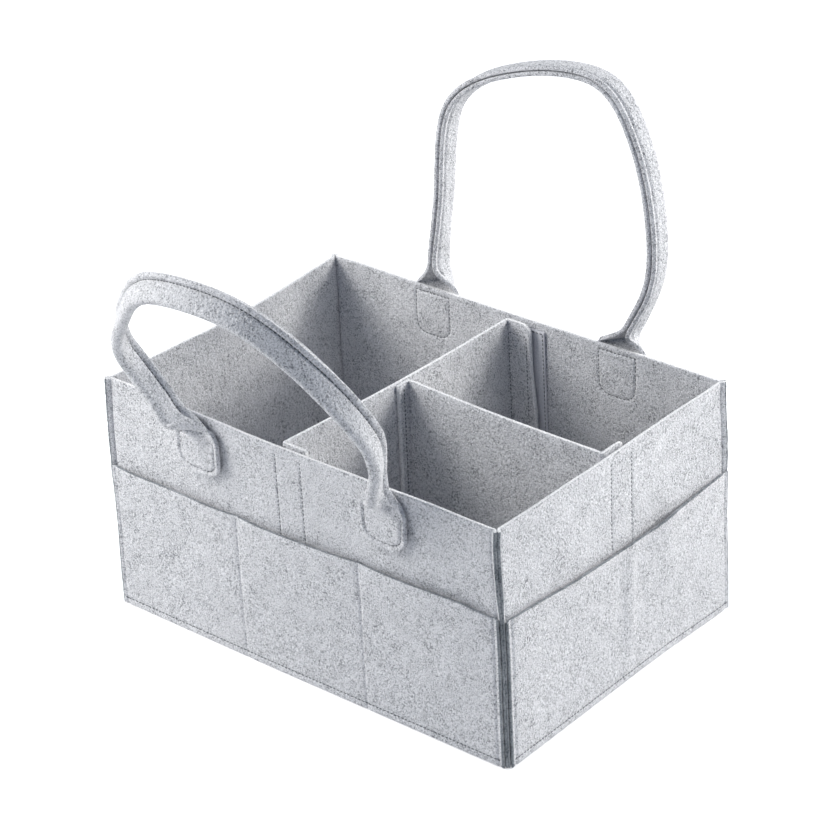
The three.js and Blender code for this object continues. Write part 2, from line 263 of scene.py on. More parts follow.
def at_run(line, run, places):
    """What a line's values are at some lengths along it."""
    return np.stack([np.interp(places, run, axis) for axis in line.T], axis=-1)


ROUND_STEPS = 9


def bent_line(points, radius):
    """A line with rounded corners, as a function from the run along it to a point, and its length."""
    points = np.asarray(points, float)
    line = [points[0]]
    for before, corner, after in zip(points, points[1:], points[2:]):
        back = (before - corner) / np.linalg.norm(before - corner)
        on = (after - corner) / np.linalg.norm(after - corner)
        reach = radius * math.tan((math.pi - math.acos(np.clip(back @ on, -1, 1))) / 2)
        share = np.linspace(0, 1, ROUND_STEPS)[:, None]
        start = corner + back * reach
        end = corner + on * reach
        line += list((1 - share) ** 2 * start + 2 * share * (1 - share) * corner + share ** 2 * end)
    line = np.array(line + [points[-1]])
    run = run_along(line)
    return lambda places: at_run(line, run, places), run[-1]


def shell(middle, thickness=FELT, sunk=0.0, back_sunk=0.0):
    """The outer and inner face of a sheet round the grid of its middle points, worn round at its
    cut edges and sunk where it is sewn, and its outward normals."""
    normal = np.cross(np.gradient(middle, axis=0), np.gradient(middle, axis=1))
    normal /= np.linalg.norm(normal, axis=2, keepdims=True)
    edge = np.full(middle.shape[:2], np.inf)
    for axis in (0, 1):
        steps = np.linalg.norm(np.diff(middle, axis=axis), axis=2)
        run = np.concatenate((np.zeros_like(steps.take([0], axis)), np.cumsum(steps, axis)), axis)
        edge = np.minimum(edge, np.minimum(run, run.take([-1], axis) - run))
    worn = np.clip(1 - edge / EDGE_ROUND, 0, 1)
    half = thickness / 2 * (EDGE_LEFT + (1 - EDGE_LEFT) * np.sqrt(1 - worn ** 2))
    outer = middle + normal * (half - sunk)[..., None]
    inner = middle - normal * (half - back_sunk)[..., None]
    return outer, inner, normal


def linked(name, data):
    """A new object in the scene, from its mesh, lamp or lens."""
    made = bpy.data.objects.new(name, data)
    bpy.context.scene.collection.objects.link(made)
    return made


def new_object(name, points, faces, slots, materials):
    """A new object of points in millimetres, settled with the box. slots gives each face's material."""
    mesh = bpy.data.meshes.new(name)
    mesh.from_pydata((settled(points) * MM).tolist(), [], faces)
    for material in materials:
        mesh.materials.append(material)
    mesh.polygons.foreach_set("material_index", slots)
    mesh.shade_smooth()
    mesh.update()
    return linked(name, mesh)


def quads(*corners):
    """Rows of four corners, from four grids of corner numbers."""
    return np.stack(corners, axis=-1).reshape(-1, 4)


def sheet_piece(name, shells, materials, cuts=(1, 1, 1, 1)):
    """A closed mesh of one or more sheets. cuts are the material slots of the four cut edges:
    first and last across, with the worn faces beside them, and first and last along."""
    points, faces, slots = [], [], []
    for outer, inner, _ in shells:
        start = sum(len(p) for p in points)
        front = start + np.arange(outer[..., 0].size).reshape(outer.shape[:2])
        back = front + front.size
        # The worn round faces beside the first and last across take those edges' material: a painted
        # highlight along a pale cut, and a wider dark band along a seam.
        worn = np.zeros((front.shape[0] - 1, front.shape[1] - 1), int)
        worn[:2], worn[-2:] = cuts[0], cuts[1]
        parts = [
            (worn.ravel(), quads(front[:-1, :-1], front[1:, :-1], front[1:, 1:], front[:-1, 1:])),
            (worn.ravel(), quads(back[:-1, :-1], back[:-1, 1:], back[1:, 1:], back[1:, :-1])),
            (cuts[0], quads(front[0, :-1], front[0, 1:], back[0, 1:], back[0, :-1])),
            (cuts[1], quads(back[-1, :-1], back[-1, 1:], front[-1, 1:], front[-1, :-1])),
            (cuts[2], quads(back[:-1, 0], back[1:, 0], front[1:, 0], front[:-1, 0])),
            (cuts[3], quads(front[:-1, -1], front[1:, -1], back[1:, -1], back[:-1, -1])),
        ]
        points += [outer.reshape(-1, 3), inner.reshape(-1, 3)]
        for slot, band in parts:
            faces += band.tolist()
            slots += np.broadcast_to(slot, len(band)).tolist()
    return new_object(name, np.concatenate(points), faces, slots, materials)


base_end = BOX_LENGTH / 2 - FELT - GAP - FELT / 2
base_side = BOX_WIDTH / 2 - FELT - GAP
base_line, base_run = bent_line(
    [(-base_end, BASE_BORDER), (-base_end, FELT / 2), (base_end, FELT / 2), (base_end, BASE_BORDER)],
    BASE_BEND,
)
across, along = np.meshgrid(
    spaced(0, base_run, BASE_STEP, (BASE_BORDER - FELT / 2, base_run - BASE_BORDER + FELT / 2)),
    spaced(-base_side, base_side, BASE_STEP), indexing="ij",
)
plan = base_line(across)
base_shells = [shell(np.stack((plan[..., 0], along, plan[..., 1]), axis=-1))]
strip_end = base_end - FELT / 2 - GAP
for direction in (-1, 1):
    across, up = np.meshgrid(
        direction * spaced(-strip_end, strip_end, BASE_STEP), spaced(FELT, BASE_BORDER, BORDER_STEP),
        indexing="ij",
    )
    strip_y = np.full_like(across, -direction * (base_side - FELT / 2))
    base_shells.append(shell(np.stack((across, strip_y, up), axis=-1)))
base_panel = sheet_piece("base_felt", base_shells, [felt_face, felt_cut_and_highlight])
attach(base_panel, "box")
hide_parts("base_panel")

# Walls: four panels of the same felt. At each corner their ends are turned outward and sewn
# together on the diagonal, so the cut edges stand out as a ridge, pressed thin by the stitches.
# The loop tape and the handles' tabs are sewn through them, and pull grooves in their faces.
SIDES = {
    "front": (0, BOX_LENGTH, BOX_WIDTH / 2),
    "right": (90, BOX_WIDTH, BOX_LENGTH / 2),
    "back": (180, BOX_LENGTH, BOX_WIDTH / 2),
    "left": (-90, BOX_WIDTH, BOX_LENGTH / 2),
}
WALL_STEPS = (5.0, 3.0)
SEAM = 5.2
CREASE_RADIUS = 1.5
PRESSED = 0.26
PRESSED_FROM = (-1.0, 4.0)
PRESSED_THIN = 0.85
FOUR_LAYERS_BELOW = (125.0, 108.0)
FRAY = 0.16
FRAY_END = 0.1
FRAY_SEED = 11
LOOP_WIDTH = 24.0
TAPE_LENGTH = 120.0
TAPE_TOP = 165.0
TAPE_MARGIN = 1.5
LOOP_MIDDLES = {"front": -5.0, "back": -13.0, "right": 6.0}
TAB_WIDTH = 39.0
TAB_BOTTOM = 129.0
TAB_CORNER = 14.0
TAB_STITCH_TOPS = {"front": 155.0, "back": 166.0}
TAB_TOP_ROWS = {"front": 6.0, "back": 14.3}
TAB_MARGINS = {"front": 3.8, "back": 5.2}
TAB_MIDDLES = {"front": (-81.0, 75.0), "back": (-83.0, 73.0)}
TAB_CORNER_STEPS = 7
CLOSE_BESIDE_TAB = (-18, -13, -8, -3, 3, 8, 13, 18)
CLOSE_UP_TAB = (131, 136, 141, 146, 151, 156, 161, 166)
DISTANCE_STEP = 0.8
# Depth and width of each groove.
CREASE_GROOVE = (0.9, 0.8)
TAPE_GROOVE = (0.55, 0.7)
TAB_BACK_GROOVE = (0.8, 0.9)
seam_random = np.random.default_rng(FRAY_SEED)


def on_side(side, points):
    """Points of a side's own frame: x along it, the wall's outer face at y = 0, outside at -y."""
    turn, _, distance = SIDES[side]
    cos, sin = math.cos(math.radians(turn)), math.sin(math.radians(turn))
    x, y, z = np.moveaxis(np.asarray(points, float), -1, 0)
    return np.stack((cos * x - sin * (y - distance), sin * x + cos * (y - distance), z), axis=-1)


def layer_line(length, depth):
    """Plan line of a layer of felt, its depth counted outward from the wall's inner face, the
    line's length, and how much of it is turned out at each end."""
    diagonal = math.sqrt(0.5)
    bend = length / 2 - FELT - (math.sqrt(2) - 1) * depth
    tip_x = length / 2 - FELT + (SEAM - depth) * diagonal
    tip_y = FELT - (SEAM + depth) * diagonal
    line, run = bent_line(
        [(-tip_x, tip_y), (-bend, FELT - depth), (bend, FELT - depth), (tip_x, tip_y)], CREASE_RADIUS
    )
    return line, run, math.hypot(tip_x - bend, tip_y - FELT + depth)


def pressed_seam(plan, across, run, turned, height, length):
    """The plan of a layer whose turned-out ends are pressed together by the corner's stitches, more
    so below the pocket mouths, where four layers meet, and the share of its thickness that is left.
    Its raw ends are a little uneven."""
    from_tip = np.minimum(across, run - across)
    into = smooth(turned - from_tip, *PRESSED_FROM)
    four_layers = smooth(-height, -FOUR_LAYERS_BELOW[0], -FOUR_LAYERS_BELOW[1])
    lost = into * (PRESSED + PRESSED * four_layers)
    end = np.sign(across - run / 2)
    aside = (length / 2 - end * plan[..., 0] - plan[..., 1]) / 2
    uneven = FRAY * seam_random.uniform(-1, 1, across.shape) * (from_tip < FRAY_END)
    pressed = plan + np.stack((end * (lost * aside + uneven), lost * aside - uneven), axis=-1)
    return pressed, 1 - PRESSED_THIN * lost


def swell(distance, height, width):
    """A soft bump across a line, such as a fold, or the groove that a row of stitches pulls in."""
    return height * np.exp(-(distance / width) ** 2)


def tab_outline(side, step):
    """The row of stitches that holds a tab, from the tab's middle and the floor. Its two ends turn
    in at the top, and on the back they meet."""
    half = TAB_WIDTH / 2 - TAB_MARGINS[side]
    radius = TAB_CORNER - TAB_MARGINS[side]
    low = TAB_BOTTOM + TAB_MARGINS[side]
    high = TAB_STITCH_TOPS[side]
    turn = np.radians(np.linspace(180, 270, TAB_CORNER_STEPS))
    left = np.stack((radius - half + radius * np.cos(turn), low + radius + radius * np.sin(turn)), axis=1)
    right = left[::-1] * (-1, 1)
    top = np.array([(half, high), (half - TAB_TOP_ROWS[side], high)])
    outline = np.concatenate((top[::-1] * (-1, 1), left, right, top))
    run = run_along(outline)
    return at_run(outline, run, np.arange(0, run[-1] + step, step))


def from_tab_stitches(side, x, height):
    """Distance of points on a wall or tab, counted from the tab's middle, to the tab's stitches."""
    spots = np.stack((x, height), axis=-1)
    distance = np.full(x.shape, np.inf)
    for stitch in tab_outline(side, DISTANCE_STEP):
        distance = np.minimum(distance, np.linalg.norm(spots - stitch, axis=-1))
    return distance


for side, (_, length, _) in SIDES.items():
    line, run, turned = layer_line(length, FELT / 2)
    sewn_at = []
    if side in LOOP_MIDDLES:
        reach = LOOP_WIDTH / 2 - TAPE_MARGIN
        sewn_at = [run / 2 + LOOP_MIDDLES[side] - reach, run / 2 + LOOP_MIDDLES[side] + reach]
    close_x = [run / 2 + x + aside for x in TAB_MIDDLES.get(side, ()) for aside in CLOSE_BESIDE_TAB]
    close_z = CLOSE_UP_TAB if side in TAB_MIDDLES else ()
    across, up = np.meshgrid(
        spaced(0, run, WALL_STEPS[0], (turned, run - turned, *sewn_at, *close_x)),
        spaced(0, RIM, WALL_STEPS[1], close_z), indexing="ij",
    )
    plan, kept = pressed_seam(line(across), across, run, turned, up, length)
    sunk = swell(np.minimum(across, run - across) - turned, *CREASE_GROOVE)
    sunk += sum((swell(across - place, *TAPE_GROOVE) * (up < TAPE_TOP) for place in sewn_at), 0.0)
    back_sunk = np.zeros_like(across)
    for middle_x in TAB_MIDDLES.get(side, ()):
        back_sunk += swell(from_tab_stitches(side, across - run / 2 - middle_x, up), *TAB_BACK_GROOVE)
    middle = on_side(side, np.stack((plan[..., 0], plan[..., 1], up), axis=-1))
    wall_shell = shell(middle, FELT * kept, sunk, back_sunk)
    # Rims and bottom edges take the near-white cut felt, partly a painted highlight; the seam tips and the
    # band beside them take the dark seam felt, partly painted shade of the corner crease.
    wall = sheet_piece(side + "_wall_felt", [wall_shell], [felt_face, felt_cut_and_highlight, felt_seam_and_shade], (2, 2, 1, 1))
    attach(wall, "box")
    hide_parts(side + "_wall")

# Pockets: a band of the same felt round the outside, sewn in along the floor and into the corner
# seams. Two rows of stitches part each long side into three pockets, and the open mouths stand
# a little off the walls.
POCKET_STEPS = (4.0, 3.0)
POCKET_HEIGHT = 107.0
CELL_SEAMS = {"front": (-52.0, 52.0), "right": (), "back": (-52.0, 52.0), "left": ()}
HEM = 5.0
HEM_GROOVE = (0.4, 0.8)
CELL_GROOVE = (0.55, 1.0)
# Each mouth's height, with its rises as amount, start and end, and its waves as amount, length and
# start. The right mouth is also lifted, and gapes, at one place.
MOUTH_HEIGHTS = {"front": POCKET_HEIGHT, "right": 106.0, "back": POCKET_HEIGHT, "left": 104.0}
MOUTH_RISES = {
    "front": ((3.5, -60, 110), (-2.5, 130, 164)),
    "right": ((-5.2, -114, 15), (3.6, 10, 110)),
}
MOUTH_WAVES = {"back": ((1.5, 40, 0.0),), "left": ((2.0, 45, math.pi / 2),)}
MOUTH_SLACK = {"front": 1.9, "right": 1.8, "back": 4.0, "left": 4.0}
SLACK_POWER = 4
RIGHT_LIFT_PLACE = 48.0
RIGHT_LIFT = (2.6, 14.0)
RIGHT_GAPE_PLACE = 45.0
RIGHT_GAPE = (4.0, 16.0)
# The upright fold in the right pocket, and the dip beside it. It fades at the hem and the mouth.
FOLD_PLACE = 8.0
FOLD = (1.7, 3.5)
DIP_PLACE = -1.0
DIP = (0.5, 5.0)
FOLD_FULL = 40.0
FOLD_FADES = (0.82, 1.0)
FOLD_LOST = 0.8


def mouth_height(side, x):
    """Height of a side's pocket mouth along it."""
    height = MOUTH_HEIGHTS[side]
    for amount, start, end in MOUTH_RISES.get(side, ()):
        height = height + amount * smooth(x, start, end)
    for amount, length, start in MOUTH_WAVES.get(side, ()):
        height = height + amount * np.sin(x / length + start)
    if side == "right":
        height = height + swell(x - RIGHT_LIFT_PLACE, *RIGHT_LIFT)
    return height


def mouth_slack(side, x, reach):
    """How far a mouth stands off the wall: nothing at the seams, most between them."""
    seams = np.array([-reach, *CELL_SEAMS[side], reach])
    cell = np.clip(np.searchsorted(seams, x) - 1, 0, len(seams) - 2)
    from_middle = 2 * (x - seams[cell]) / (seams[cell + 1] - seams[cell]) - 1
    slack = MOUTH_SLACK[side] * (1 - np.clip(np.abs(from_middle), 0, 1) ** SLACK_POWER)
    if side == "right":
        slack = slack + swell(x - RIGHT_GAPE_PLACE, *RIGHT_GAPE)
    return slack


for side, (_, length, _) in SIDES.items():
    line, run, turned = layer_line(length, FELT + GAP + FELT / 2)
    seams = [run / 2 + x for x in CELL_SEAMS[side]]
    across, rise = np.meshgrid(
        spaced(0, run, POCKET_STEPS[0], (turned, run - turned, *seams)),
        spaced(0, POCKET_HEIGHT, POCKET_STEPS[1], (HEM,)) / POCKET_HEIGHT, indexing="ij",
    )
    x = across - run / 2
    height = rise * mouth_height(side, x)
    plan, kept = pressed_seam(line(across), across, run, turned, height, length)
    out = mouth_slack(side, x, run / 2 - turned) * rise ** 2
    if side == "right":
        fold = swell(x - FOLD_PLACE, *FOLD) - swell(x - DIP_PLACE, *DIP)
        out += fold * smooth(height, HEM, FOLD_FULL) * (1 - FOLD_LOST * smooth(rise, *FOLD_FADES))
    from_tip = np.minimum(across, run - across)
    sunk = swell(height - HEM, *HEM_GROOVE) * (from_tip > turned)
    sunk += swell(from_tip - turned, *CREASE_GROOVE)
    sunk += sum((swell(across - place, *CELL_GROOVE) for place in seams), 0.0)
    middle = on_side(side, np.stack((plan[..., 0], plan[..., 1] - out, height), axis=-1))
    pocket_shell = shell(middle, FELT * kept, sunk)
    # The mouth's top edge takes the dark seam felt: a painted shadow of the gap between pocket and wall.
    pocket = sheet_piece(side + "_pocket_felt", [pocket_shell], [felt_face, felt_seam_and_shade], (1, 1, 0, 1))
    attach(pocket, "box")
    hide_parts(side + "_pocket")

# Loop tape: strips of knitted nylon with a brushed pile, sewn inside three of the walls. The
# divider's hook tape is pressed on them.
TAPE = 1.4
TAPE_STEP = 1.3
PILE = 0.25
PILE_SEED = 7
LOOP_MM = 1.2
STRAND_MM = 0.7
TUFT_HEIGHT = 0.3


def tape_material(name, pale, grey, tuft_mm, roughness):
    """Nylon tape is a pale, even ground of small tufts, with a faint sheen on its filaments. It is
    drawn greyer between the tufts, where the pile dips: painted shade in the hollows. The filaments
    are too fine to show, so they are drawn as strands under 1 mm wide."""
    material, tree, shader = new_material(name)
    where = add_node(tree, "TexCoord", {})
    tufts = add_node(
        tree, "TexVoronoi", {"Scale": 1000 / tuft_mm, "Randomness": 0.6}, {"Vector": (where, "Object")}
    )
    strands = noise(tree, STRAND_MM, detail=2.0, distortion=1.5)
    tuft_height_and_shade = add_node(
        tree, "Math", {"operation": "MULTIPLY"}, {0: (tufts, "Distance"), 1: (strands, "Fac")}
    )
    # The share grows away from each tuft's middle, where the pile dips, and greys the tape there as painted
    # shade.
    share = add_node(tree, "MapRange", {"From Min": 0.05, "From Max": 0.5}, {"Value": (tuft_height_and_shade, "Value")})
    colour = add_node(
        tree, "Mix", {"data_type": "RGBA", 6: linear(pale), 7: linear(grey)}, {0: (share, "Result")}
    )
    tree.links.new(colour.outputs[2], shader.inputs["Base Color"])
    bump = add_node(
        tree, "Bump", {"Strength": 0.6, "Distance": TUFT_HEIGHT * MM, "invert": True},
        {"Height": (tuft_height_and_shade, "Value")},
    )
    tree.links.new(bump.outputs["Normal"], shader.inputs["Normal"])
    shader.inputs["Roughness"].default_value = roughness
    shader.inputs["Sheen Weight"].default_value = 0.2
    return material


nylon_loops = tape_material(
    "nylon_loop_pile", pale="#e6e6ea", grey="#c9cad0", tuft_mm=LOOP_MM, roughness=0.8
)
tape_random = np.random.default_rng(PILE_SEED)
tape_bottom = TAPE_TOP - TAPE_LENGTH
for side, loop_middle in LOOP_MIDDLES.items():
    across, up = np.meshgrid(
        spaced(loop_middle - LOOP_WIDTH / 2, loop_middle + LOOP_WIDTH / 2, TAPE_STEP),
        spaced(tape_bottom, TAPE_TOP, TAPE_STEP), indexing="ij",
    )
    depth = np.full_like(across, FELT + GAP + TAPE / 2)
    pile = PILE * tape_random.random(across.shape)
    middle = on_side(side, np.stack((across, depth, up), axis=-1))
    tape_shell = shell(middle, TAPE, back_sunk=pile)
    tape = sheet_piece("loop_tape_" + side, [tape_shell], [nylon_loops], (0, 0, 0, 0))
    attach(tape, "box")
    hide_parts("loop_" + side)

# Stitching of the box: lockstitch in grey polyester thread along the hem, the pocket seams, the
# tape and the handles' tabs. Each stitch is a short arched piece of thread.
STITCH_PITCH = 3.0
STITCH_LENGTH = 2.7
THREAD = 0.42
THREAD_SIDES = 5
# The rings of one stitch: place along it, share of the thread's thickness, and lift off the felt.
STITCH_RINGS = ((-0.5, 0.5, -0.3), (0.0, 1.0, 0.1), (0.5, 0.5, -0.3))
HEM_POINTS = 60
HEM_SUNK = 0.3
CELL_SUNK = 1.1
CELL_ROW_END = 2.0
TAPE_ROW_FOOT = 104.0
TAPE_ROW_SUNK = 0.5
LOOP_ROW_SUNK = 0.1
TAB_BACK_SUNK = 0.65
TAB_BACK_STEP = 1.5

# Polyester thread is smooth, with a soft gloss. It is drawn dark grey, darker than the pale grey
# thread itself, as painted shade of the grooves and needle holes that it lies in. Its twist is drawn
# as dark and light along a stitch, a painted shading of its plies, 0.8 mm long, coarser than a real
# one, so that it shows.
TWIST_MM = 0.8
thread_with_painted_shade, thread_tree, thread_shader = new_material("thread_with_painted_shade")
thread_twist_shading = noise(thread_tree, TWIST_MM, detail=1.0)
thread_shaded_colour = add_node(
    thread_tree, "Mix", {"data_type": "RGBA", 6: linear("#64686d"), 7: linear("#414549")},
    {0: (thread_twist_shading, "Fac")},
)
thread_tree.links.new(thread_shaded_colour.outputs[2], thread_shader.inputs["Base Color"])
thread_shader.inputs["Roughness"].default_value = 0.6


def tube_faces(count, rings, sides):
    """The faces of many closed tubes, each with the same number of rings and sides."""
    one = [list(range(sides))[::-1], list(range((rings - 1) * sides, rings * sides))]
    for ring in range(0, (rings - 1) * sides, sides):
        for k in range(sides):
            after = (k + 1) % sides
            one.append([ring + k, ring + after, ring + sides + after, ring + sides + k])
    size = rings * sides
    return [[start + corner for corner in face] for start in range(0, count * size, size) for face in one]


def stitches(name, rows):
    """Stitches along rows, each given as its points and the directions out of the felt there."""
    centres, alongs, outs = [], [], []
    for row, out in rows:
        run = run_along(row)
        count = max(1, int(run[-1] / STITCH_PITCH))
        at = (np.arange(count) + 0.5) * run[-1] / count
        centres.append(at_run(row, run, at))
        alongs.append(at_run(row, run, at + STITCH_LENGTH / 2) - at_run(row, run, at - STITCH_LENGTH / 2))
        outs.append(at_run(out, run, at))
    centre, along, out = (np.concatenate(parts) for parts in (centres, alongs, outs))
    along /= np.linalg.norm(along, axis=1, keepdims=True)
    out = out - along * np.sum(along * out, axis=1, keepdims=True)
    out /= np.linalg.norm(out, axis=1, keepdims=True)
    beside = np.cross(out, along)
    angle = np.tile(np.arange(THREAD_SIDES) * 2 * math.pi / THREAD_SIDES, len(STITCH_RINGS))
    reach, thick, lift = np.repeat(STITCH_RINGS, THREAD_SIDES, axis=0).T
    reach = reach * STITCH_LENGTH
    thick = thick * THREAD
    points = (
        centre[:, None]
        + along[:, None] * reach[:, None]
        + beside[:, None] * (thick * np.cos(angle))[:, None]
        + out[:, None] * (thick * np.sin(angle) + lift)[:, None]
    )
    faces = tube_faces(len(points), len(STITCH_RINGS), THREAD_SIDES)
    return new_object(name, points.reshape(-1, 3), faces, [0] * len(faces), [thread_with_painted_shade])


def row_on(side, points, out):
    """A row of stitches given in a side's own frame, with one direction out of the felt."""
    points = np.asarray(points, float)
    placed = on_side(side, points)
    return placed, on_side(side, points + np.asarray(out, float)) - placed


box_rows = []
for side, (_, length, _) in SIDES.items():
    pocket_face = -GAP - FELT
    hem_end = length / 2 - FELT
    xs = np.linspace(-hem_end, hem_end, HEM_POINTS)
    box_rows.append(row_on(side, [(x, pocket_face + HEM_SUNK, HEM) for x in xs], (0, -1, 0)))
    for x in CELL_SEAMS[side]:
        top = float(mouth_height(side, np.array(x)))
        ends = (HEM + CELL_ROW_END, top - CELL_ROW_END)
        box_rows.append(row_on(side, [(x, pocket_face + CELL_SUNK, z) for z in ends], (0, -1, 0)))
    if side in LOOP_MIDDLES:
        reach = LOOP_WIDTH / 2 - TAPE_MARGIN
        left, right = LOOP_MIDDLES[side] - reach, LOOP_MIDDLES[side] + reach
        top, low = TAPE_TOP - TAPE_MARGIN, tape_bottom + TAPE_MARGIN
        outside = [(left, TAPE_ROW_FOOT), (left, top), (right, top), (right, TAPE_ROW_FOOT)]
        box_rows.append(row_on(side, [(x, TAPE_ROW_SUNK, z) for x, z in outside], (0, -1, 0)))
        inside = [(left, low), (left, top), (right, top), (right, low), (left, low)]
        tape_face = FELT + GAP + TAPE - LOOP_ROW_SUNK
        box_rows.append(row_on(side, [(x, tape_face, z) for x, z in inside], (0, 1, 0)))
    for middle_x in TAB_MIDDLES.get(side, ()):
        loop = [(middle_x + x, FELT - TAB_BACK_SUNK, z) for x, z in tab_outline(side, TAB_BACK_STEP)]
        box_rows.append(row_on(side, loop, (0, 1, 0)))
box_stitching = stitches("box_stitching", box_rows)
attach(box_stitching, "box")

# Handles: a 39 mm strip of felt for each. Its rounded ends lie flat on the wall and are sewn on
# as tabs; above the rim it is folded in half, fold outward, and its raw edges are stitched.

# For each handle, lean is its slope outward in degrees. gather, drawn and inside are runs counted
# up from the bending line: over gather its middle folds, over drawn its raw edges follow, and over
# inside the folded strip moves in over the rim. curl lifts the right edge of the left and the right
# tab, and sidestep shifts the fold sideways at the left and the right foot. twist gives degrees at
# shares of the arch, and arch gives points along the wall and up from the bending line.
HANDLES = {
    "front": {
        "lean": 25.0, "gather": (-17.0, -7.0), "drawn": (-8.0, 7.0), "inside": (4.0, 60.0),
        "curl": (2.5, 1.8), "sidestep": (-7.0, 3.0),
        "twist": ((0, 0), (0.05, -6), (0.1, 3), (0.16, 19), (0.25, 34), (0.72, 35), (0.92, -20), (1, 0)),
        "arch": [(-81, 0), (-119, 47), (-89, 104), (-50, 138), (22, 142), (64, 110), (90, 52), (75, 0)],
    },
    "back": {
        "lean": 8.0, "gather": (-8.0, 16.0), "drawn": (-6.0, 20.0), "inside": (-2.0, 14.0),
        "curl": (0.0, 0.0), "sidestep": (0.0, -2.0),
        "twist": ((0, 0), (0.1, 10), (0.9, -10), (1, 0)),
        "arch": [
            (-83, 0), (-94, 20), (-106, 60), (-89, 137), (-59, 173), (12, 166), (63, 134), (70, 60), (73, 0)
        ],
    },
}
STRIP_HALF = TAB_WIDTH / 2
BENDING_LINE = RIM + 0.5
TAB_LENGTH = BENDING_LINE - TAB_BOTTOM
# Places across the folded strip, from its middle to its raw edge, and how far the felt has turned.
FOLD_TURNS = ((0, 0), (4.4, 95), (6, 98), (13.5, 97), (15.5, 82), (STRIP_HALF, 80))
FOLD_SAMPLES = 200
EDGE_PART = (3.0, 10.0)
SPINE_STEPS = 40
SLOPE_REACH = 1.5
FINE_RUN = 92.0
FINE_STEP = 0.9
COARSE_STEP = 1.8
COLUMN_STEP = 0.85
LAST_CELL = 1.001
SWAY_RUN = (2.0, 30.0)
SIDESTEP_RUN = (2.0, 26.0)
CURL_STARTS = (3.0, 14.0)
CURL_ENDS = (-10.0, 6.0)
CURL_FROM = 2.0
LEAN_BEND = (-5.0, 8.0)
LEAN_TOP = 220.0
LEAN_SAMPLES = 800
RAW_EDGE_STITCH = 15.0
RAW_EDGE_GROOVE = (2.0, 1.0)
RAW_EDGE_TIGHT = (0.6, 1.0)
RAW_EDGE_SEWN = 0.97
RAW_EDGE_PROUD = 0.1
TAB_GROOVE = (1.6, 0.85)
TAB_ROW_STEP = 0.7
# The front strip has a seam across it, this far along from its left foot.
JOIN_RUN = 178.0
JOIN_GROOVE = (1.0, 1.3)


def through(points, steps):
    """A centripetal Catmull-Rom curve through the points, as a close line."""
    points = np.asarray(points, float)
    whole = np.concatenate(([2 * points[0] - points[1]], points, [2 * points[-1] - points[-2]]))
    line = []
    for p0, p1, p2, p3 in zip(whole, whole[1:], whole[2:], whole[3:]):
        t1 = np.linalg.norm(p1 - p0) ** 0.5
        t2 = t1 + np.linalg.norm(p2 - p1) ** 0.5
        t3 = t2 + np.linalg.norm(p3 - p2) ** 0.5
        t = np.linspace(t1, t2, steps, endpoint=False)[:, None]
        a1 = p0 + (p1 - p0) * t / t1
        a2 = p1 + (p2 - p1) * (t - t1) / (t2 - t1)
        a3 = p2 + (p3 - p2) * (t - t2) / (t3 - t2)
        b1 = a1 + (a2 - a1) * t / t2
        b2 = a2 + (a3 - a2) * (t - t1) / (t3 - t1)
        line += list(b1 + (b2 - b1) * (t - t1) / (t2 - t1))
    return np.array(line + [points[-1]])


def corner_cut(radius, from_end):
    """How much a round corner takes off the width of a sheet, at distances from its end."""
    inset = np.clip(radius - from_end, 0, radius)
    return radius - np.sqrt(radius ** 2 - inset ** 2)


def folded_section(widths, folded, drawn):
    """The strip across its width: offsets across, and inward from the fold. folded is how far its
    middle is folded, and drawn how far its raw edges have followed. Folded, it is a drop-shaped
    loop, drawn together at the stitches near the raw edges."""
    fine = np.linspace(0, STRIP_HALF, FOLD_SAMPLES)
    full = np.radians(np.interp(fine, *zip(*FOLD_TURNS)))
    outer_part = smooth(fine, *EDGE_PART)
    angle = (folded[:, None] * (1 - outer_part) + drawn[:, None] * outer_part) * full
    step = fine[1]
    aside = np.cumsum(np.cos(angle), axis=1) * step
    inward = np.cumsum(np.sin(angle), axis=1) * step
    aside -= aside[:, :1]
    inward -= inward[:, :1]
    aside, inward = (
        np.stack([np.interp(np.abs(w), fine, row) for w, row in zip(widths, grid)])
        for grid in (aside, inward)
    )
    return np.sign(widths) * aside, inward


def between(grid, columns, stations, across, along):
    """Points of a grid at places between its columns and stations."""
    column = np.clip(np.interp(across, columns, np.arange(len(columns))), 0, len(columns) - LAST_CELL)
    station = np.clip(np.interp(along, stations, np.arange(len(stations))), 0, len(stations) - LAST_CELL)
    i, j = column.astype(int), station.astype(int)
    a, b = (column - i)[:, None], (station - j)[:, None]
    near = grid[i, j] * (1 - a) + grid[i + 1, j] * a
    far = grid[i, j + 1] * (1 - a) + grid[i + 1, j + 1] * a
    return near * (1 - b) + far * b


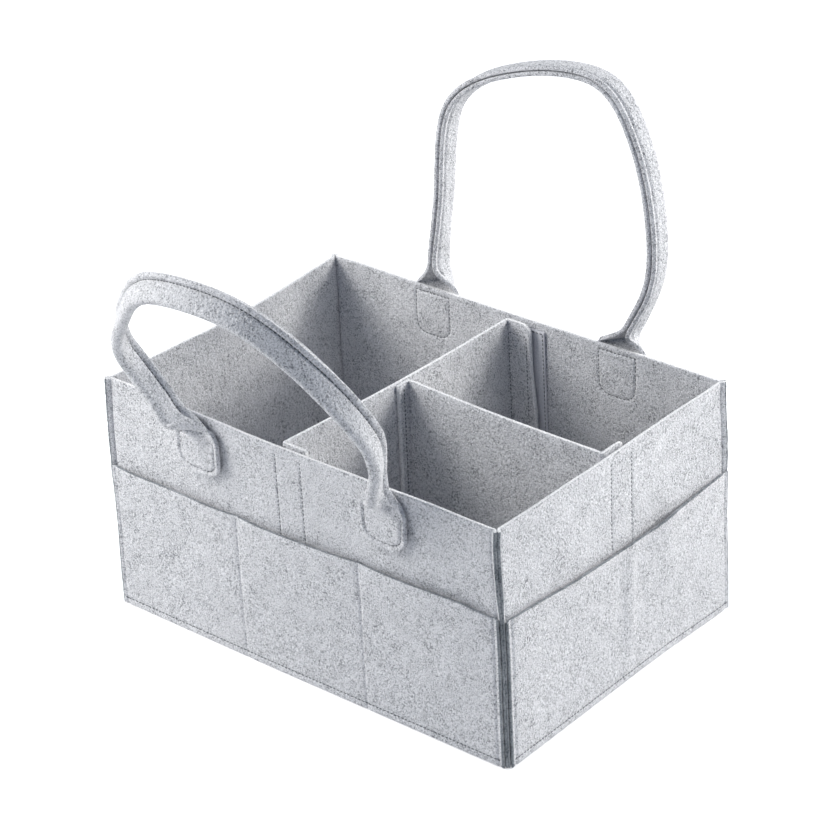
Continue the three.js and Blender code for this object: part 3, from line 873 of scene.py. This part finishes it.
for side, handle in HANDLES.items():
    arch = through(handle["arch"], SPINE_STEPS)
    tab_steps = np.linspace(-TAB_LENGTH, 0, SPINE_STEPS, endpoint=False)
    spine = np.concatenate((
        np.stack((np.full(SPINE_STEPS, arch[0, 0]), tab_steps), axis=1),
        arch,
        np.stack((np.full(SPINE_STEPS, arch[-1, 0]), tab_steps[::-1]), axis=1),
    ))
    spine_run = run_along(spine)
    total = spine_run[-1]
    fine_part = np.arange(EDGE_ROUND + FINE_STEP, FINE_RUN, FINE_STEP)
    end_part = np.concatenate(([0, EDGE_FIRST, EDGE_ROUND], fine_part))
    mid_part = np.arange(FINE_RUN + 1, total - FINE_RUN, COARSE_STEP)
    stations = np.concatenate((end_part, mid_part, total - end_part[::-1]))
    spot = at_run(spine, spine_run, stations)
    ahead = at_run(spine, spine_run, stations + SLOPE_REACH)
    behind = at_run(spine, spine_run, stations - SLOPE_REACH)
    tangent = (ahead - behind) / np.linalg.norm(ahead - behind, axis=1, keepdims=True)
    left_half = stations < total / 2
    from_end = np.minimum(stations, total - stations)
    from_foot = from_end - TAB_LENGTH
    folded = smooth(from_foot, *handle["gather"])
    draw_start, draw_end = handle["drawn"]
    drawn = 1 - np.clip((draw_end - from_foot) / (draw_end - draw_start), 0, 1) ** 2

    level = np.stack((np.where(left_half, 1.0, -1.0), np.zeros_like(stations)), axis=1)
    turned = np.stack((tangent[:, 1], -tangent[:, 0]), axis=1)
    sway = smooth(from_foot, *SWAY_RUN)[:, None]
    width_way = level * (1 - sway) + turned * sway
    width_way /= np.linalg.norm(width_way, axis=1, keepdims=True)

    half_width = STRIP_HALF - corner_cut(TAB_CORNER, from_end)
    marks = [-RAW_EDGE_STITCH, RAW_EDGE_STITCH]
    columns = spaced(-STRIP_HALF, STRIP_HALF, COLUMN_STEP, marks)
    widths = columns[None, :] * (half_width / STRIP_HALF)[:, None]
    aside, inward = folded_section(widths, folded, drawn)
    inward -= (inward.max(axis=1) * (1 - smooth(from_foot, *handle["inside"]) / 2))[:, None]
    arch_share = (stations - TAB_LENGTH) / (total - 2 * TAB_LENGTH)
    twist = np.radians(np.interp(arch_share, *zip(*handle["twist"])))[:, None]
    aside, inward = (
        aside * np.cos(twist) - inward * np.sin(twist), aside * np.sin(twist) + inward * np.cos(twist)
    )
    curl = np.where(left_half, *handle["curl"])
    lifted = curl * smooth(from_end, *CURL_STARTS) * (1 - smooth(from_foot, *CURL_ENDS))
    to_right = widths * np.where(left_half, 1, -1)[:, None]
    inward -= lifted[:, None] * np.clip((to_right - CURL_FROM) / (STRIP_HALF - CURL_FROM), 0, 1) ** 2

    heights = np.linspace(-TAB_LENGTH, LEAN_TOP, LEAN_SAMPLES)
    bend = math.radians(handle["lean"]) * smooth(heights, *LEAN_BEND)
    bend_step = heights[1] - heights[0]
    rise = np.cumsum(np.cos(bend)) * bend_step
    fall = np.cumsum(np.sin(bend)) * bend_step
    rise += BENDING_LINE - np.interp(0, heights, rise)
    angle = np.interp(spot[:, 1], heights, bend)
    edge_part = smooth(np.abs(widths), *EDGE_PART)
    stepped = edge_part * drawn[:, None] + (1 - edge_part) * folded[:, None]
    stepped *= (np.where(left_half, *handle["sidestep"]) * (1 - smooth(from_foot, *SIDESTEP_RUN)))[:, None]
    x = spot[:, 0, None] + aside * width_way[:, 0, None] + stepped
    up_slope = aside * width_way[:, 1, None]
    y = (
        -GAP - FELT / 2 - np.interp(spot[:, 1], heights, fall)[:, None]
        - up_slope * np.sin(angle)[:, None] + inward * np.cos(angle)[:, None]
    )
    z = (
        np.interp(spot[:, 1], heights, rise)[:, None]
        + up_slope * np.cos(angle)[:, None] + inward * np.sin(angle)[:, None]
    )
    middle = on_side(side, np.stack((x, y, z), axis=-1)).transpose(1, 0, 2)
    sunk = swell(np.abs(widths.T) - RAW_EDGE_STITCH, *RAW_EDGE_GROOVE) * smooth(drawn, *RAW_EDGE_TIGHT)
    if side == "front":
        join = TAB_LENGTH + JOIN_RUN
        sunk += swell(stations - join, *JOIN_GROOVE)
    strip_height = TAB_BOTTOM + np.broadcast_to(from_end, widths.T.shape)
    sunk += swell(from_tab_stitches(side, widths.T, strip_height), *TAB_GROOVE)
    strip_shell = shell(middle, FELT, sunk)
    strip = sheet_piece(side + "_handle_felt", [strip_shell], [felt_face], (0, 0, 0, 0))

    outer, _, normal = strip_shell
    sewn = np.flatnonzero(drawn > RAW_EDGE_SEWN)
    rows = []
    for mark in marks:
        column = int(np.argmin(np.abs(columns - mark)))
        rows.append((outer[column, sewn] + RAW_EDGE_PROUD * normal[column, sewn], normal[column, sewn]))
    loop_x, loop_z = tab_outline(side, TAB_ROW_STEP).T
    loop_run = loop_z - TAB_BOTTOM
    loop_column = loop_x * STRIP_HALF / np.interp(loop_run, from_end[left_half], half_width[left_half])
    for along in (loop_run, total - loop_run):
        spots = between(outer, columns, stations, loop_column, along)
        rows.append((spots, between(normal, columns, stations, loop_column, along)))
    strip_stitching = stitches(side + "_handle_stitching", rows)

    for piece in (strip, strip_stitching):
        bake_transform(piece)
    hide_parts(side + "_handle", side + "_left_tab", side + "_right_tab")

# Divider: a cross panel and a leg panel of felt that stand in the box as a T. The ends are turned
# into flanges for the tape, and the leg's narrow inner flange is sewn on the cross panel.
DIVIDER_TOP = 169.5
DIVIDER_BOTTOM = FELT + GAP
DIVIDER_BEND = 1.3
PANEL_STEP = 5.0
UP_PARTS = 1000
UP_STEP = 33
BACK_CORNER = 7.0
FLANGE_CORNER = 2.5
CROSS_LINE = [(16.5, 105.8), (-3.0, 105.8), (-14.0, -105.8), (5.5, -105.8)]
CROSS_HALF = 100.0
CROSS_BOW = 2.6
FLANGE_WAVE = 3.0
FLANGE_WAVE_BELOW = (145.0, 95.0)
FLANGE_REACH = 15.0
LEG_LINE = [(-5.64, -8.5), (-5.15, 2.0), (155.8, -3.0), (155.8, 16.5)]
LEG_REACH = 150.0
LEG_BOW = -1.6


def divider_panel(name, points, corners_cut, bow):
    """One panel along its plan line, with the top corners of its two ends cut round. bow gives how
    far the panel has sagged out of flat at a plan point and height, as x and y."""
    line, run = bent_line(points, DIVIDER_BEND)
    corners = np.cumsum([math.dist(a, b) for a, b in zip(points, points[1:])])
    across, up = np.meshgrid(
        spaced(0, run, PANEL_STEP, corners[:2]), spaced(0, UP_PARTS, UP_STEP) / UP_PARTS, indexing="ij"
    )
    plan = line(across)
    top = np.full_like(across, DIVIDER_TOP)
    for radius, from_end in zip(corners_cut, (across, run - across)):
        top -= corner_cut(radius, from_end)
    height = DIVIDER_BOTTOM + up * (top - DIVIDER_BOTTOM)
    middle = np.concatenate((plan + bow(plan[..., 0], plan[..., 1], height), height[..., None]), axis=-1)
    panel = sheet_piece(name, [shell(middle)], [felt_face, felt_cut_and_highlight])
    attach(panel, "divider")
    return panel


def cross_bow(x, y, height):
    """The cross panel bows towards the leg, and its back flange reaches further lower down."""
    bow = CROSS_BOW * np.cos(np.clip(y / CROSS_HALF, -1, 1) * math.pi / 2) * height / RIM
    low = smooth(-height, -FLANGE_WAVE_BELOW[0], -FLANGE_WAVE_BELOW[1])
    wave = FLANGE_WAVE * low * smooth(x, 0, FLANGE_REACH) * (y > CROSS_HALF)
    return np.stack((bow + wave, 0 * y), axis=-1)


def leg_bow(x, y, height):
    """The leg panel follows the cross panel at its inner end, and bows to the front along its length."""
    share = np.clip(x / LEG_REACH, 0, 1)
    bow = np.stack((CROSS_BOW * (1 - share), LEG_BOW * np.sin(share * math.pi)), axis=-1)
    return bow * (height / RIM)[..., None]


cross_panel = divider_panel("divider_cross_felt", CROSS_LINE, (BACK_CORNER, FLANGE_CORNER), cross_bow)
leg_panel = divider_panel("divider_leg_felt", LEG_LINE, (FLANGE_CORNER, FLANGE_CORNER), leg_bow)
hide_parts("divider_cross")
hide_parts("divider_leg")

# Hook tape: woven nylon strips with rows of stiff small hooks, sewn on the back of the three
# flanges. The hooks point at the loop tape and hold in its pile.
HOOK_WIDTH = 18.0
HOOK_STEPS = (3.0, 6.0)
HOOK_BASE = 0.6
HOOK_PITCH = 1.8
HOOK_FIRST = 2.0
HOOK_LAST = 1.5
HOOK_MIDDLES = {"front": -5.0, "back": -6.0, "right": 6.0}
HOOK_ROW_LOWER = 3.0
HOOK_ROW_SUNK = 0.05
nylon_hooks = tape_material(
    "nylon_hook_weave", pale="#c6c7cc", grey="#9d9fa6", tuft_mm=HOOK_PITCH, roughness=0.55
)
hook_depth = FELT + GAP + TAPE + GAP
flange_face = hook_depth + TAPE + GAP + FELT
# One hook: the corners of its foot, and its rings from the weave to the tip, each with its depth,
# its share of the foot's size, and its droop.
HOOK_FOOT = ((-0.35, 0.4), (0.35, 0.4), (0.35, -0.4), (-0.35, -0.4))
HOOK_RINGS = (
    (hook_depth + TAPE - HOOK_BASE + 0.1, 1.0, 0.0),
    (hook_depth + 0.35, 0.7, 0.0),
    (hook_depth, 0.75, 0.5),
)
one_hook = [(size * x, y, size * z - droop) for y, size, droop in HOOK_RINGS for x, z in HOOK_FOOT]
divider_rows = []
for side, hook_middle in HOOK_MIDDLES.items():
    tape_left, tape_right = hook_middle - HOOK_WIDTH / 2, hook_middle + HOOK_WIDTH / 2
    across, up = np.meshgrid(
        spaced(tape_left, tape_right, HOOK_STEPS[0]), spaced(tape_bottom, TAPE_TOP, HOOK_STEPS[1]),
        indexing="ij",
    )
    depth = np.full_like(across, hook_depth + TAPE - HOOK_BASE / 2)
    tape_shell = shell(on_side(side, np.stack((across, depth, up), axis=-1)), HOOK_BASE)
    tape = sheet_piece("hook_tape_" + side, [tape_shell], [nylon_hooks], (0, 0, 0, 0))
    points = [
        (x + hook_x, y, z + hook_z)
        for x in np.arange(tape_left + HOOK_FIRST, tape_right - HOOK_LAST, HOOK_PITCH)
        for z in np.arange(tape_bottom + HOOK_FIRST, TAPE_TOP - HOOK_LAST, HOOK_PITCH)
        for hook_x, y, hook_z in one_hook
    ]
    faces = tube_faces(len(points) // len(one_hook), len(HOOK_RINGS), len(HOOK_FOOT))
    hooks = new_object("hooks_" + side, on_side(side, points), faces, [0] * len(faces), [nylon_hooks])
    for piece in (tape, hooks):
        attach(piece, "divider")
    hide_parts("hook_" + side)
    left, right = tape_left + TAPE_MARGIN, tape_right - TAPE_MARGIN
    top, low = TAPE_TOP - TAPE_MARGIN - HOOK_ROW_LOWER, tape_bottom + TAPE_MARGIN
    loop = [(left, low), (left, top), (right, top), (right, low), (left, low)]
    divider_rows.append(row_on(side, [(x, flange_face - HOOK_ROW_SUNK, z) for x, z in loop], (0, 1, 0)))

# Stitching of the divider: the same polyester thread, sewn round each hook tape through its
# flange, and down the leg's inner flange through the cross panel.
LEG_ROW_PLACE = (-3.9, -4.0)
LEG_ROW_ENDS = (6.0, 166.0)
leg_row = [(LEG_ROW_PLACE[0] + CROSS_BOW * z / RIM, LEG_ROW_PLACE[1], z) for z in LEG_ROW_ENDS]
divider_rows.append((np.array(leg_row), np.array([(1.0, 0.0, 0.0)] * len(leg_row))))
divider_stitching = stitches("divider_stitching", divider_rows)
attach(divider_stitching, "divider")

# Studio: a plain white floor that takes the soft shadow, a white surround and large soft lamps.
# The camera stands at the photograph's angle, in front of the right front corner. Sizes and places
# are in metres here.
FLOOR_HALF = 6.0
FLOOR_LEVEL = -0.0005
FILL_NEAR = 0.42
FILL_FAR = 1.0
FILL_START = 0.6
FILL_END = 2.2
SURROUND_LIGHT = (0.07, 0.105, 0.17, 1.0)
SURROUND_SEEN = (1.0, 1.0, 1.0, 1.0)
LAMP_COLOUR = (1.0, 0.985, 0.955)
# Name, place, size and watts of each lamp. All point at the middle of the floor.
LAMPS = (
    ("lamp_left", (-0.68, -0.66, 0.5), 0.5, 3.9),
    ("lamp_high_left", (-0.9, -0.6, 1.2), 0.7, 13.0),
    ("lamp_right", (1.5, 0.7, 0.8), 0.6, 14.5),
    ("lamp_behind", (0.6, 1.4, 1.0), 0.8, 20.0),
)
CAMERA_AZIMUTH = 41.49
CAMERA_ELEVATION = 28.93
CAMERA_ROLL = -3.32
CAMERA_PLACE = (1.1808, -1.3306, 1.1273)
CAMERA_FOCAL_PIXELS = 3126.9
IMAGE_PIXELS = 832
SENSOR_MM = 36.0

floor_mesh = bpy.data.meshes.new("studio_floor")
floor_mesh.from_pydata(
    [(x * FLOOR_HALF, y * FLOOR_HALF, FLOOR_LEVEL) for x, y in ((-1, -1), (1, -1), (1, 1), (-1, 1))],
    [], [(0, 1, 2, 3)],
)
floor = linked("studio_floor", floor_mesh)

# White paper is even and quite matt. A fill that only the camera sees lifts it to white, more so
# far away, so that the floor keeps the shadow and meets the surround without a line.
white_paper, paper, paper_shader = new_material("white_paper")
floor_mesh.materials.append(white_paper)
paper_shader.inputs["Base Color"].default_value = linear("#fbfbfb")
paper_shader.inputs["Roughness"].default_value = 1.0
paper_shader.inputs["Specular IOR Level"].default_value = 0.0
paper_rays = add_node(paper, "LightPath", {})
paper_place = add_node(paper, "TexCoord", {})
paper_distance = add_node(paper, "VectorMath", {"operation": "LENGTH"}, {0: (paper_place, "Object")})
paper_level = add_node(
    paper, "MapRange",
    {"From Min": FILL_START, "From Max": FILL_END, "To Min": FILL_NEAR, "To Max": FILL_FAR},
    {"Value": (paper_distance, "Value")},
)
paper_seen = add_node(
    paper, "Math", {"operation": "MULTIPLY"}, {0: (paper_rays, "Is Camera Ray"), 1: (paper_level, "Result")}
)
paper_fill = add_node(paper, "Emission", {}, {"Strength": (paper_seen, "Value")})
paper_sum = add_node(paper, "AddShader", {}, {0: (paper_shader, "BSDF"), 1: (paper_fill, "Emission")})
paper.links.new(paper_sum.outputs["Shader"], paper.nodes["Material Output"].inputs["Surface"])

# The surround looks white to the camera and in gloss, and gives the object only a weak, cool light.
world = bpy.data.worlds.new("white_surround")
bpy.context.scene.world = world
world.use_nodes = True
surround = world.node_tree
surround.nodes.clear()
rays = add_node(surround, "LightPath", {})
seen = add_node(
    surround, "Math", {"operation": "MAXIMUM"}, {0: (rays, "Is Camera Ray"), 1: (rays, "Is Glossy Ray")}
)
shown = add_node(
    surround, "Math", {"operation": "MAXIMUM"}, {0: (seen, "Value"), 1: (rays, "Is Transmission Ray")}
)
sky = add_node(
    surround, "Mix", {"data_type": "RGBA", 6: SURROUND_LIGHT, 7: SURROUND_SEEN}, {0: (shown, "Value")}
)
background = add_node(surround, "Background", {}, {"Color": (sky, 2)})
add_node(surround, "OutputWorld", {}, {"Surface": (background, "Background")})

for name, place, size, watts in LAMPS:
    lamp = bpy.data.lights.new(name, "AREA")
    lamp.size = size
    lamp.energy = watts
    lamp.color = LAMP_COLOUR
    lamp_object = linked(name, lamp)
    lamp_object.location = place
    lamp_object.rotation_mode = "QUATERNION"
    lamp_object.rotation_quaternion = Vector(place).to_track_quat("Z", "Y")

azimuth, elevation, roll = (math.radians(a) for a in (CAMERA_AZIMUTH, CAMERA_ELEVATION, CAMERA_ROLL))
back = np.array([
    math.sin(azimuth) * math.cos(elevation), -math.cos(azimuth) * math.cos(elevation), math.sin(elevation)
])
level_right = np.array([math.cos(azimuth), math.sin(azimuth), 0.0])
level_up = np.cross(back, level_right)
right = math.cos(roll) * level_right + math.sin(roll) * level_up
up = math.cos(roll) * level_up - math.sin(roll) * level_right
lens = bpy.data.cameras.new("camera")
lens.sensor_width = SENSOR_MM
lens.lens = CAMERA_FOCAL_PIXELS / IMAGE_PIXELS * SENSOR_MM
camera = linked("camera", lens)
camera_rows = [[*axes, place] for *axes, place in zip(right, up, back, CAMERA_PLACE)]
camera.matrix_world = Matrix(camera_rows + [[0, 0, 0, 1]])
bpy.context.scene.camera = camera
bpy.context.scene.view_settings.view_transform = "Standard"
